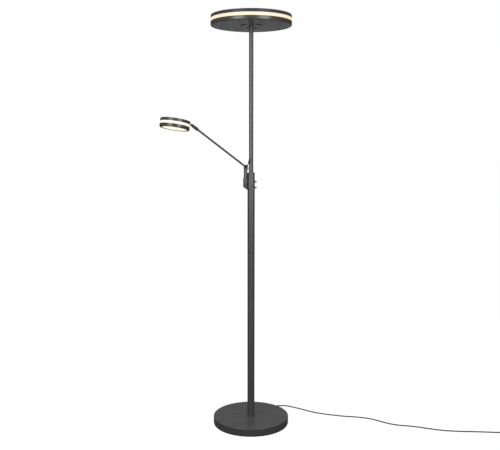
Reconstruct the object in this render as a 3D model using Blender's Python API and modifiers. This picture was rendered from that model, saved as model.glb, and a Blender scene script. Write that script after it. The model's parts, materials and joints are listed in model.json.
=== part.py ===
"""A torchiere floor lamp: a round weighted base, a stepped pole, a flat disc head that shines up and out
of its side, and a reading arm with a small disc head. Metres, +Z up, origin on the floor at the pole's axis."""

import math

import bmesh
import bpy
from mathutils import Matrix, Vector

# Driving dimensions
GAP = 0.0003
HEIGHT = 1.8000
BASE_RADIUS = 0.1680
BASE_TOP = 0.0354
PAD_TOP = 0.0045
POLE_RADIUS = 0.0160
POLE_WALL = 0.0015
POLE_TOP = 1.1317
UPPER_RADIUS = 0.0095
UPPER_WALL = 0.0012
HEAD_RADIUS = 0.1740
HEAD_BOTTOM = 1.7558
GLOW_BOTTOM = 1.7720
GLOW_TOP = 1.7862
FLANGE_RADIUS = 0.0460
STUD_RADIUS = 0.0060
STEM_RADIUS = 0.0050

POST_X = -0.0243
POST_RADIUS = 0.0080
FORK_RADIUS = 0.0086
ARM_START = 0.0114
SOCKET_RADIUS = 0.0106
SOCKET_TOP = 1.1078
KNUCKLE = Vector((POST_X, 0.0, 1.1570))
EYE_RADIUS = 0.0070
ARM_ELEVATION = math.radians(37.6)
ARM_LENGTH = 0.2944
ARM_RADIUS = 0.0043
HEAD_TWIST = math.radians(8.5)
HEAD_DROP = math.radians(29.7)
FERRULE_RADIUS = 0.0072
FERRULE_TIP = 0.0062
COLLAR_END = 0.0335
READING_RADIUS = 0.0655
READING_HALF = 0.0193
READING_REACH = 0.0722
READING_RISE = 0.0070
SIDE_TOP = 0.0058
SIDE_BOTTOM = -0.0055

KNOB_HEIGHTS = {"upper": 1.0924, "lower": 1.0666}
KNOB_RADIUS = 0.0073
KNOB_BACK = POLE_RADIUS + 0.0006

CORD_AZIMUTH = math.radians(52.0)
CORD_HEIGHT = 0.0165
CORD_RADIUS = 0.0027
CORD_FLOOR = 0.0028
LEAD_RADIUS = 0.0022
COIL_RADIUS = 0.0315
COIL_LIFT = 0.0010
COIL_CENTRE = Vector((1.1560, -0.1240 - COIL_RADIUS - CORD_RADIUS, 0.0))

BIG_STEPS = 36
STEPS = 24
SMALL_STEPS = 16

UP = Vector((0, 0, 1))


# Helpers

def clear_scene():
    for obj in list(bpy.data.objects):
        bpy.data.objects.remove(obj, do_unlink=True)


def new_collection(name):
    collection = bpy.data.collections.new(name)
    bpy.context.scene.collection.children.link(collection)
    return collection


clear_scene()
LAMP = new_collection("torchiere_floor_lamp")
CUTTERS = new_collection("cutters")


def finish(name, colour, roughness, metallic=0.0):
    material = bpy.data.materials.new(name)
    material.use_nodes = True
    shader = material.node_tree.nodes["Principled BSDF"]
    shader.inputs["Base Color"].default_value = (*colour, 1.0)
    shader.inputs["Roughness"].default_value = roughness
    shader.inputs["Metallic"].default_value = metallic
    return material


ANTHRACITE = finish("anthracite_paint", (0.075, 0.075, 0.078), 0.45, 0.1)
BLACK_PLASTIC = finish("black_plastic", (0.02, 0.02, 0.02), 0.5)
RUBBER = finish("black_rubber", (0.012, 0.012, 0.012), 0.8)
KNOB_PAINT = finish("knob_paint", (0.2, 0.2, 0.2), 0.35, 0.3)
STEEL = finish("zinc_plated_steel", (0.6, 0.6, 0.6), 0.35, 1.0)
DARK_STEEL = finish("blackened_steel", (0.03, 0.03, 0.03), 0.45, 0.9)
IRON = finish("cast_iron", (0.1, 0.1, 0.1), 0.8, 0.5)
ALUMINIUM = finish("aluminium", (0.7, 0.7, 0.7), 0.4, 1.0)
OPAL = finish("opal_diffuser", (0.95, 0.92, 0.84), 0.4)
BOARD = finish("led_board", (0.85, 0.85, 0.82), 0.5)
BRASS = finish("brass", (0.7, 0.55, 0.25), 0.35, 1.0)
CABLE = finish("cable_jacket", (0.015, 0.015, 0.015), 0.55)


def frame_at(origin, z_axis, x_hint=Vector((1, 0, 0))):
    """A frame with its Z along z_axis and its X as near x_hint as that allows."""
    z = Vector(z_axis).normalized()
    x = (Vector(x_hint) - z * z.dot(Vector(x_hint))).normalized()
    rotation = Matrix((x, z.cross(x), z)).transposed()
    return Matrix.Translation(origin) @ rotation.to_4x4()


def add(name, data, material, frame=Matrix(), cutter=False):
    obj = bpy.data.objects.new(name, data)
    obj.matrix_world = frame
    if cutter:
        CUTTERS.objects.link(obj)
        obj.hide_render = True
        obj.display_type = "WIRE"
    else:
        LAMP.objects.link(obj)
        data.materials.append(material)
    return obj


def turned(name, profile, material, steps=STEPS, frame=Matrix(), cutter=False):
    """A solid turned about the frame's Z from (radius, height) points, clockwise. A profile that starts and
    ends on the axis stays open there, any other is closed."""
    mesh = bpy.data.meshes.new(name)
    count = len(profile)
    closed = profile[0][0] > 0.0
    edges = [(i, (i + 1) % count) for i in range(count if closed else count - 1)]
    mesh.from_pydata([(radius, 0.0, height) for radius, height in profile], edges, [])
    obj = add(name, mesh, material, frame, cutter)
    screw = obj.modifiers.new("Turn", "SCREW")
    screw.steps = steps
    screw.render_steps = steps
    screw.use_merge_vertices = True
    screw.merge_threshold = 0.00001
    return obj


def rod(name, radius, start, end, material, steps=SMALL_STEPS, cutter=False, x_hint=Vector((1, 0.01, 0))):
    """A cylinder between two points."""
    start, end = Vector(start), Vector(end)
    mesh = bpy.data.meshes.new(name)
    shape = bmesh.new()
    bmesh.ops.create_cone(shape, cap_ends=True, segments=steps, radius1=radius, radius2=radius,
                          depth=(end - start).length)
    shape.to_mesh(mesh)
    shape.free()
    return add(name, mesh, material, frame_at((start + end) / 2, end - start, x_hint), cutter)


def block(name, low, high, material, frame=Matrix(), cutter=False):
    """A box between two corners in the frame."""
    low, high = Vector(low), Vector(high)
    mesh = bpy.data.meshes.new(name)
    shape = bmesh.new()
    bmesh.ops.create_cube(shape, size=1.0)
    bmesh.ops.scale(shape, vec=high - low, verts=shape.verts)
    bmesh.ops.translate(shape, vec=(low + high) / 2, verts=shape.verts)
    shape.to_mesh(mesh)
    shape.free()
    return add(name, mesh, material, frame, cutter)


def outline_solid(name, outlines, thickness, material, frame=Matrix(), cutter=False):
    """A flat outline in the frame's XY, with any holes as further outlines, extruded along its Z as a mesh."""
    data = bpy.data.curves.new(name, "CURVE")
    data.dimensions = "2D"
    data.fill_mode = "BOTH"
    data.extrude = thickness / 2
    for points in outlines:
        spline = data.splines.new("POLY")
        spline.points.add(len(points) - 1)
        for point, (x, y) in zip(spline.points, points):
            point.co = (x, y, 0.0, 1.0)
        spline.use_cyclic_u = True
    curve = bpy.data.objects.new(name + "_outline", data)
    LAMP.objects.link(curve)
    bpy.context.view_layer.update()
    evaluated = curve.evaluated_get(bpy.context.evaluated_depsgraph_get())
    mesh = bpy.data.meshes.new_from_object(evaluated)
    shape = bmesh.new()
    shape.from_mesh(mesh)
    bmesh.ops.remove_doubles(shape, verts=shape.verts, dist=0.000001)
    bmesh.ops.recalc_face_normals(shape, faces=shape.faces)
    shape.to_mesh(mesh)
    shape.free()
    bpy.data.objects.remove(curve, do_unlink=True)
    mesh.materials.clear()
    return add(name, mesh, material, frame, cutter)


def apply_boolean(obj, others, operation):
    for other in others:
        boolean = obj.modifiers.new(operation.title(), "BOOLEAN")
        boolean.operation = operation
        boolean.solver = "EXACT"
        boolean.object = other
    return obj


def cut(obj, *cutters):
    return apply_boolean(obj, cutters, "DIFFERENCE")


def joined(obj, *others):
    return apply_boolean(obj, others, "UNION")


def circle(radius, count=SMALL_STEPS, centre=(0.0, 0.0)):
    turn = [2 * math.pi * i / count for i in range(count)]
    return [(centre[0] + radius * math.cos(a), centre[1] + radius * math.sin(a)) for a in turn]


def arc(centre, radius, start, end, count):
    """Points along an arc, with its angles in degrees."""
    angles = [math.radians(start + (end - start) * i / count) for i in range(count + 1)]
    return [(centre[0] + radius * math.cos(a), centre[1] + radius * math.sin(a)) for a in angles]


def smooth_route(points, spacing):
    """Points about one spacing apart on a smooth curve through the given points."""
    route = [Vector(p) for p in points]
    route = [route[0] * 2 - route[1], *route, route[-1] * 2 - route[-2]]
    out = []
    for before, start, end, after in zip(route, route[1:], route[2:], route[3:]):
        steps = max(1, round((end - start).length / spacing))
        for i in range(steps):
            t = i / steps
            bend = (before * -1 + start * 3 - end * 3 + after) * t ** 3
            slope = (before * 2 - start * 5 + end * 4 - after) * t ** 2
            out.append((bend + slope + (end - before) * t + start * 2) / 2)
    out.append(route[-2])
    return out


def tube(name, points, radius, material, resolution=2):
    data = bpy.data.curves.new(name, "CURVE")
    data.dimensions = "3D"
    data.bevel_depth = radius
    data.bevel_resolution = resolution
    data.use_fill_caps = True
    spline = data.splines.new("POLY")
    spline.points.add(len(points) - 1)
    for point, co in zip(spline.points, points):
        point.co = (*co, 1.0)
    return add(name, data, material)


def joint_empty(name, origin):
    empty = bpy.data.objects.new(name, None)
    empty.location = origin
    LAMP.objects.link(empty)
    return empty


def hang_on(empty, *objects):
    bpy.context.view_layer.update()
    for obj in objects:
        world = obj.matrix_world.copy()
        obj.parent = empty
        obj.matrix_parent_inverse = empty.matrix_world.inverted()
        obj.matrix_world = world


def hex_nut(name, radius, bore, start, end, material):
    nut = rod(name, radius, start, end, material, steps=6)
    start, end = Vector(start), Vector(end)
    reach = (end - start) * 0.2
    return cut(nut, rod(name + "_bore", bore, start - reach, end + reach, None, cutter=True))


# Base

def around(radius, height, azimuth=CORD_AZIMUTH):
    return Vector((radius * math.cos(azimuth), radius * math.sin(azimuth), height))


def make_base():
    weight_bottom = PAD_TOP + GAP
    cover_under = BASE_TOP - 0.0016
    bore = STUD_RADIUS + GAP * 2
    turned("base_pad", [(0, PAD_TOP), (0.1630, PAD_TOP), (0.1634, 0.0041), (0.1634, 0), (0, 0)],
           RUBBER, BIG_STEPS)
    weight = turned("base_weight", [
        (bore, cover_under - GAP), (0.0300, cover_under - GAP), (0.0330, 0.0168), (0.1380, 0.0168),
        (0.1400, 0.0148), (0.1400, weight_bottom), (0.0135, weight_bottom), (0.0135, 0.0200),
        (bore, 0.0200)], IRON, STEPS)
    channel = block("cord_channel", (0.0, -0.0042, 0.0), (0.1700, 0.0042, 0.0125), None,
                    Matrix.Rotation(CORD_AZIMUTH, 4, "Z"), cutter=True)
    way_out = rod("cord_way_out", 0.0060, around(0.1300, 0.0090), around(0.1660, CORD_HEIGHT), None,
                  cutter=True)
    cut(weight, channel, way_out)
    outer = arc((BASE_RADIUS - 0.002, BASE_TOP - 0.002), 0.002, 90, 0, 3)
    inner = arc((BASE_RADIUS - 0.0032, cover_under - 0.0016), 0.0016, 0, 90, 2)
    cover = turned("base_cover", [
        (bore, BASE_TOP), *outer, (BASE_RADIUS + 0.0003, weight_bottom),
        (BASE_RADIUS - 0.0013, weight_bottom), *inner, (bore, cover_under)], ANTHRACITE, BIG_STEPS)
    cut(cover, rod("gland_hole", 0.0052, around(0.1500, CORD_HEIGHT), around(0.1800, CORD_HEIGHT), None,
                   cutter=True))
    turned("base_stud", [(STUD_RADIUS, 0.0720), (STUD_RADIUS, 0.0125), (0.0043, 0.0125), (0.0043, 0.0720)],
           STEEL, SMALL_STEPS)
    hex_nut("base_nut", 0.0105, bore, (0, 0, 0.0128), (0, 0, 0.0178), STEEL)
    turned("base_washer", [(bore, 0.0197), (0.0128, 0.0197), (0.0128, 0.0181), (bore, 0.0181)], STEEL,
           SMALL_STEPS)


def make_cord_gland():
    """The gland through the cover's edge and its tapered strain relief, as one moulding."""
    out = around(1.0, 0.0)
    frame = frame_at(around(BASE_RADIUS, CORD_HEIGHT), out, UP)
    bore = CORD_RADIUS + GAP
    turned("cord_gland", [
        (bore, 0.0360), (0.0036, 0.0360), (0.0055, 0.0040), (0.0072, 0.0034), (0.0072, 0.0008),
        (0.0048, 0.0008), (0.0048, -0.0024), (0.0068, -0.0024), (0.0068, -0.0046), (bore, -0.0046)],
        RUBBER, SMALL_STEPS, frame)


# Pole

def make_pole():
    foot_bottom = BASE_TOP + GAP
    inner = POLE_RADIUS - POLE_WALL
    turned("pole_foot", [
        (STUD_RADIUS + GAP, 0.0750), (inner - GAP, 0.0750), (inner - GAP, foot_bottom),
        (STUD_RADIUS + GAP, foot_bottom)], STEEL, STEPS)
    lower = turned("lower_pole", [
        (POLE_RADIUS, POLE_TOP - 0.0033), (POLE_RADIUS, foot_bottom), (inner, foot_bottom),
        (inner, POLE_TOP - 0.0033)], ANTHRACITE, STEPS)
    for name, height in KNOB_HEIGHTS.items():
        cut(lower, rod(f"{name}_bush_hole", 0.0036, (0.005, 0, height), (0.020, 0, height), None, cutter=True))
    for number, height in enumerate(SOCKET_SCREWS, 1):
        cut(lower, rod(f"socket_hole_{number}", 0.0018, (-0.020, 0, height), (-0.010, 0, height), None,
                       cutter=True))
    turned("pole_reducer", [
        (UPPER_RADIUS + GAP, POLE_TOP), (POLE_RADIUS - 0.0007, POLE_TOP), (POLE_RADIUS, POLE_TOP - 0.0007),
        (POLE_RADIUS, POLE_TOP - 0.0030), (inner - GAP, POLE_TOP - 0.0030), (inner - GAP, 1.1080),
        (UPPER_RADIUS + GAP, 1.1080)], ANTHRACITE, STEPS)
    upper_inner = UPPER_RADIUS - UPPER_WALL
    top = HEAD_BOTTOM - 0.0028
    upper = turned("upper_pole", [
        (UPPER_RADIUS, top), (UPPER_RADIUS, 1.1100), (upper_inner, 1.1100), (upper_inner, top)],
        ANTHRACITE, STEPS)
    cut(upper, rod("boot_hole", 0.0020, (0, 0, BOOT_ROOT.z), BOOT_ROOT, None, cutter=True))


SOCKET_SCREWS = (1.0700, 1.1000)
BOOT_ROOT = Vector((-0.0050, -0.0090, 1.1910))
BOOT_TIP = Vector((-0.0122, -0.0108, 1.1705))


def make_inner_lead():
    """The lead under the weight, up the hollow stud and through both poles to the head."""
    route = [
        around(0.1600, CORD_HEIGHT), around(0.1480, 0.0150), around(0.1300, 0.0095), around(0.0900, 0.0079),
        around(0.0350, 0.0079), around(0.0130, 0.0074), around(0.0052, 0.0074), around(0.0010, 0.0098),
        (0, 0, 0.0150),
        (0, 0, 0.0500), (0, 0.0010, 0.1000), (0, 0.0060, 0.3500), (0, 0.0080, 0.7000), (0, 0.0097, 1.0000),
        (0, 0.0100, 1.0500), (0, 0.0100, 1.0930), (0, 0.0070, 1.1040), (0, 0.0035, 1.1150),
        (0, 0.0030, 1.2000), (0, 0.0030, 1.5000), (0, 0.0010, 1.6800), (0, 0, 1.7300), (0, 0, 1.7770)]
    points = [Vector(p) for p in route]
    base_part = smooth_route(points[:10], 0.008)
    tube("inner_lead", [*base_part[:-1], *smooth_route(points[9:], 0.12)], LEAD_RADIUS, CABLE)


# Uplighter head

def make_uplighter():
    bore = STEM_RADIUS + GAP
    top = HEAD_BOTTOM - 0.0028
    turned("head_spigot", [
        (0.0033, 1.7790), (STEM_RADIUS, 1.7790), (STEM_RADIUS, top + 0.0003), (0.0080, top + 0.0003),
        (0.0080, 1.7350), (0.0033, 1.7350)], BRASS, SMALL_STEPS)
    turned("head_flange", [
        (bore, HEAD_BOTTOM - GAP), (FLANGE_RADIUS, HEAD_BOTTOM - GAP),
        (FLANGE_RADIUS, HEAD_BOTTOM - 0.0016), (FLANGE_RADIUS - 0.0009, HEAD_BOTTOM - 0.0022),
        (bore, HEAD_BOTTOM - 0.0022)], ANTHRACITE, STEPS)
    wall = 0.0012
    turned("head_lower_shell", [
        (HEAD_RADIUS - wall, GLOW_BOTTOM - GAP), (HEAD_RADIUS, GLOW_BOTTOM - GAP),
        *arc((HEAD_RADIUS - 0.004, HEAD_BOTTOM + 0.004), 0.004, 0, -90, 3), (bore, HEAD_BOTTOM),
        (bore, HEAD_BOTTOM + wall),
        *arc((HEAD_RADIUS - 0.004, HEAD_BOTTOM + 0.004), 0.004 - wall, -90, 0, 2)], ANTHRACITE, BIG_STEPS)
    plate = GLOW_BOTTOM + 0.0002
    turned("head_carrier", [
        (bore, plate + 0.0016), (HEAD_RADIUS - 0.0030, plate + 0.0016), (HEAD_RADIUS - 0.0030, plate),
        (0.0120, plate), (0.0120, HEAD_BOTTOM + wall + GAP), (bore, HEAD_BOTTOM + wall + GAP)],
        ALUMINIUM, BIG_STEPS)
    hex_nut("head_nut", 0.0095, bore, (0, 0, plate + 0.0019), (0, 0, plate + 0.0059), BRASS)
    turned("head_led_board", [
        (0.0300, plate + 0.0035), (0.1660, plate + 0.0035), (0.1660, plate + 0.0019),
        (0.0300, plate + 0.0019)], BOARD, STEPS)
    block("head_driver", (-0.0550, 0.0480, HEAD_BOTTOM + wall + GAP), (0.0550, 0.0930, plate - GAP),
          BLACK_PLASTIC)
    turned("head_side_diffuser", [
        (HEAD_RADIUS - 0.0026, GLOW_TOP - GAP), (HEAD_RADIUS - 0.0003, GLOW_TOP - GAP),
        (HEAD_RADIUS - 0.0003, GLOW_BOTTOM), (HEAD_RADIUS - 0.0026, GLOW_BOTTOM)], OPAL, BIG_STEPS)
    turned("head_top_ring", [
        (0.1580, HEIGHT), (HEAD_RADIUS - 0.0023, HEIGHT), (HEAD_RADIUS - 0.0013, HEIGHT - 0.0010),
        (HEAD_RADIUS, GLOW_TOP), (HEAD_RADIUS - 0.0018, GLOW_TOP), (HEAD_RADIUS - 0.0030, HEIGHT - 0.0018),
        (0.1580, HEIGHT - 0.0018)], ANTHRACITE, BIG_STEPS)
    turned("head_top_diffuser", [
        (0, HEIGHT - 0.0021), (HEAD_RADIUS - 0.0034, HEIGHT - 0.0021), (HEAD_RADIUS - 0.0034, HEIGHT - 0.0045),
        (0, HEIGHT - 0.0045)], OPAL, BIG_STEPS)


# Dimmers in the lower pole

def make_dimmer(name, height):
    """A rotary dimmer whose threaded bush comes through the pole, its shaft and its tapered knob."""
    outward = frame_at((0, 0, height), (1, 0, 0), UP)
    turned(f"dimmer_{name}", [
        (0.0021, 0.0171), (0.0033, 0.0171), (0.0033, 0.0086), (0.0056, 0.0086), (0.0056, -0.0020),
        (0.0021, -0.0020)], BLACK_PLASTIC, SMALL_STEPS, outward)
    shaft = rod(f"dimmer_{name}_shaft", 0.0018, (0.0005, 0, height), (0.0225, 0, height), STEEL)
    knob = turned(f"dimmer_{name}_knob", [
        (0, 0.0247), (0.0024, 0.0247), (0.0036, 0.0238), (KNOB_RADIUS - 0.0004, KNOB_BACK + 0.0006),
        (KNOB_RADIUS, KNOB_BACK), (0.0042, KNOB_BACK), (0.0042, 0.0182), (0.0021, 0.0182), (0.0021, 0.0228),
        (0, 0.0228)], KNOB_PAINT, SMALL_STEPS, outward)
    hang_on(joint_empty(f"dimmer_{name}_axis", (0, 0, height)), shaft, knob)


# Reading arm

ALONG = Vector((-math.cos(ARM_ELEVATION), 0.0, math.sin(ARM_ELEVATION)))
HINGE = KNUCKLE + ALONG * ARM_LENGTH
HINGE_AXIS = Matrix.Rotation(HEAD_TWIST, 3, ALONG) @ Vector((0, -1, 0))
OUTWARD = Matrix.Rotation(HEAD_DROP, 3, HINGE_AXIS) @ ALONG
HEAD_UP = OUTWARD.cross(HINGE_AXIS)


def make_socket():
    """The bracket that the arm's post turns in, with a rib that closes the gap behind the post."""
    axis = Vector((POST_X, 0, 0))
    journal = 0.0073
    socket = turned("arm_socket", [
        (journal, SOCKET_TOP), (SOCKET_RADIUS - 0.0006, SOCKET_TOP), (SOCKET_RADIUS, SOCKET_TOP - 0.0006),
        (SOCKET_RADIUS, 1.0500), (0.0070, 1.0500), (0.0070, 1.0782), (0.0030, 1.0782), (0.0030, 1.0812),
        (journal, 1.0812)], ANTHRACITE, STEPS, Matrix.Translation(axis))
    slope = frame_at((POST_X - SOCKET_RADIUS, 0, 1.0688), (0.565, 0, 0.825), (1, 0, 0))
    below = block("socket_slope", (-0.02, -0.02, -0.04), (0.05, 0.02, 0.0), None, slope, cutter=True)
    pole = rod("socket_saddle", POLE_RADIUS + GAP, (0, 0, 1.03), (0, 0, 1.13), None, STEPS, cutter=True,
               x_hint=Vector((1, 0, 0)))
    rib = block("socket_rib", (-0.0205, 0.0030, SOCKET_TOP - 0.0060), (-0.0140, 0.0080, POLE_TOP - 0.0020), None,
                cutter=True)
    beside_post = rod("rib_relief", POST_RADIUS + GAP, (POST_X, 0, SOCKET_TOP), (POST_X, 0, POLE_TOP), None,
                      STEPS, cutter=True, x_hint=Vector((1, 0, 0)))
    bore = rod("rib_bore", journal, (POST_X, 0, SOCKET_TOP - 0.0100), (POST_X, 0, SOCKET_TOP + 0.0010), None,
               STEPS, cutter=True, x_hint=Vector((1, 0, 0)))
    joined(socket, rib)
    cut(socket, below, pole, beside_post, bore)
    for number, height in enumerate(SOCKET_SCREWS, 1):
        cut(socket, rod(f"screw_seat_{number}", 0.0018, (-0.030, 0, height), (-0.010, 0, height), None,
                        cutter=True))
        turned(f"socket_screw_{number}", [
            (0, 0.0020), (0.0026, 0.0020), (0.0026, 0), (0.0015, 0), (0.0015, -0.0028), (0, -0.0028)],
            STEEL, SMALL_STEPS, frame_at((POLE_WALL + 0.0004 - POLE_RADIUS, 0, height), (1, 0, 0), UP))
    turned("socket_bush", [(0.0058, SOCKET_TOP), (0.0070, SOCKET_TOP), (0.0070, 1.0815), (0.0058, 1.0815)],
           BLACK_PLASTIC, SMALL_STEPS, Matrix.Translation(axis))


def make_swivel():
    axis = Matrix.Translation((POST_X, 0, 0))
    floor = KNUCKLE.z - EYE_RADIUS - 0.0006
    top = KNUCKLE.z + 0.0084
    seat = floor - 0.0022
    post = turned("swivel_post", [
        (0.0050, seat - GAP), (POST_RADIUS - 0.0003, seat - GAP), (POST_RADIUS, seat - 0.0006),
        (POST_RADIUS, SOCKET_TOP + 0.0008), (POST_RADIUS - 0.0005, SOCKET_TOP + GAP),
        (0.0055, SOCKET_TOP + GAP), (0.0055, 1.0815), (0.0024, 1.0815), (0.0024, 1.0960),
        (0.0050, 1.0980)], ANTHRACITE, STEPS, axis)
    fork = turned("knuckle_fork", [
        (0, top), (FORK_RADIUS - 0.0012, top), (FORK_RADIUS, top - 0.0012), (FORK_RADIUS, seat),
        (0.0047, seat), (0.0047, 1.1380), (0, 1.1380)], BLACK_PLASTIC, STEPS, axis)
    side = frame_at(KNUCKLE, (0, -1, 0), (1, 0, 0))
    slot = block("fork_slot", (-0.02, -0.0033, floor), (0.02, 0.0033, floor + 0.03), None, axis, cutter=True)
    bolt_way = rod("bolt_way", 0.0023, KNUCKLE - Vector((0, 0.01, 0)), KNUCKLE + Vector((0, 0.01, 0)), None,
                   cutter=True)
    cable_way = rod("cable_way", 0.0021, (POST_X - 0.0010, 0, CABLE_ENTRY.z), CABLE_ENTRY, None, cutter=True)
    head_seats = [
        rod(f"bolt_seat_{number}", 0.0048, KNUCKLE + Vector((0, side_y * 0.0055, 0)),
            KNUCKLE + Vector((0, side_y * 0.0120, 0)), None, cutter=True)
        for number, side_y in enumerate((-1, 1), 1)]
    cut(post, cable_way)
    cut(fork, slot, bolt_way, cable_way, *head_seats)
    washer = turned("post_washer", [(0.0027, 1.0779), (0.0058, 1.0779), (0.0058, 1.0768), (0.0027, 1.0768)],
                    STEEL, SMALL_STEPS, axis)
    screw = turned("post_screw", [
        (0, 1.0930), (0.0021, 1.0930), (0.0021, 1.0765), (0.0045, 1.0765), (0.0045, 1.0737), (0, 1.0737)],
        STEEL, SMALL_STEPS, axis)
    bolt = turned("knuckle_bolt", [
        (0, 0.0078), (0.0032, 0.0078), (0.0038, 0.0072), (0.0038, 0.0058), (0.0020, 0.0058),
        (0.0020, -0.0084), (0, -0.0084)], DARK_STEEL, SMALL_STEPS, side)
    nut = hex_nut("knuckle_nut", 0.0042, 0.0023, KNUCKLE + Vector((0, 0.0058, 0)),
                  KNUCKLE + Vector((0, 0.0078, 0)), DARK_STEEL)
    hang_on(joint_empty("arm_swivel_axis", (POST_X, 0, SOCKET_TOP)), post, fork, washer, screw, bolt, nut)


CABLE_ENTRY = Vector((POST_X + POST_RADIUS + 0.003, 0.0, 1.1445))


def make_arm_cable():
    """The short lead from the upper pole through its rubber boot into the post, with slack for the swivel."""
    along = (BOOT_TIP - BOOT_ROOT).normalized()
    length = (BOOT_TIP - BOOT_ROOT).length
    boot = turned("cable_boot", [
        (0, length), (0.0028, length), (0.0040, 0.0040), (0.0036, 0.0), (0, 0.0)], RUBBER, SMALL_STEPS,
        frame_at(BOOT_ROOT, along))
    pole = rod("boot_saddle", UPPER_RADIUS + GAP, (0, 0, 1.15), (0, 0, 1.22), None, STEPS, cutter=True,
               x_hint=Vector((1, 0, 0)))
    bore = rod("boot_bore", 0.0019, BOOT_ROOT + along * 0.0060, BOOT_TIP + along * 0.0050, None, cutter=True)
    cut(boot, pole, bore)
    route = [
        BOOT_ROOT + along * 0.0100, BOOT_TIP, BOOT_TIP + along * 0.0060, (-0.0142, -0.0090, 1.1570),
        (-0.0130, -0.0052, 1.1490), (-0.0142, -0.0012, 1.1448), (-0.0175, 0.0, 1.1445), (-0.0195, 0.0, 1.1445)]
    tube("arm_cable", smooth_route(route, 0.0045), 0.0016, CABLE)


def make_arm():
    across = frame_at(KNUCKLE, (0, -1, 0), (1, 0, 0))
    eye = turned("arm_eye", [(0.0023, 0.0030), (EYE_RADIUS, 0.0030), (EYE_RADIUS, -0.0030), (0.0023, -0.0030)],
                 BLACK_PLASTIC, STEPS, across)
    neck = rod("eye_neck", 0.0029, KNUCKLE + ALONG * 0.0045, KNUCKLE + ALONG * (ARM_START - GAP), None, cutter=True)
    spigot = rod("eye_spigot", 0.0025, KNUCKLE + ALONG * 0.0085, KNUCKLE + ALONG * 0.0250, None, cutter=True)
    joined(eye, neck, spigot)
    along = frame_at(HINGE, ALONG, (0, -1, 0))
    start = ARM_START - ARM_LENGTH
    shaft = turned("arm_tube", [
        (ARM_RADIUS, -0.0163), (ARM_RADIUS, start), (0.0028, start), (0.0028, -0.0163)],
        ANTHRACITE, SMALL_STEPS, along)
    bore = ARM_RADIUS + GAP
    flange = turned("arm_end_flange", [
        (bore, -0.0166), (0.0054, -0.0166), (0.0054, -0.0199), (bore, -0.0199)], STEEL, SMALL_STEPS, along)
    hang_on(joint_empty("arm_tilt_axis", KNUCKLE), eye, shaft, flange)


def make_yoke():
    """The ferrule that turns on the arm's end and holds the reading head's hinge pin in its fork."""
    frame = frame_at(HINGE, ALONG, HINGE_AXIS)
    ferrule = turned("head_ferrule", [
        (0, FERRULE_TIP), *arc((0, 0), FERRULE_TIP, 72, 0, 4), (FERRULE_RADIUS, -0.0205),
        (FERRULE_RADIUS, -0.0220), (0.0057, -0.0220), (0.0057, -0.0160), (0, -0.0160)],
        BLACK_PLASTIC, STEPS, frame)
    slot = block("ferrule_slot", (-0.0023, -0.01, -0.0062), (0.0023, 0.01, 0.01), None, frame, cutter=True)
    pin_way = rod("pin_way", 0.0015, HINGE - HINGE_AXIS * 0.01, HINGE + HINGE_AXIS * 0.01, None, cutter=True)
    lead_way = rod("lead_way", 0.0018, HINGE - ALONG * 0.0180, HINGE - ALONG * 0.0050, None, cutter=True)
    cut(ferrule, slot, pin_way, lead_way)
    bore = ARM_RADIUS + GAP
    collar = turned("ferrule_collar", [
        (bore, -0.0202), (0.0054, -0.0202), (0.0054, -0.0223), (FERRULE_RADIUS, -0.0223),
        (FERRULE_RADIUS, 0.0006 - COLLAR_END), (FERRULE_RADIUS - 0.0006, -COLLAR_END), (bore, -COLLAR_END)],
        BLACK_PLASTIC, STEPS, frame)
    pin = rod("head_hinge_pin", 0.0012, HINGE - HINGE_AXIS * 0.0057, HINGE + HINGE_AXIS * 0.0057, STEEL)
    hang_on(joint_empty("head_twist_axis", HINGE), ferrule, collar, pin)


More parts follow.
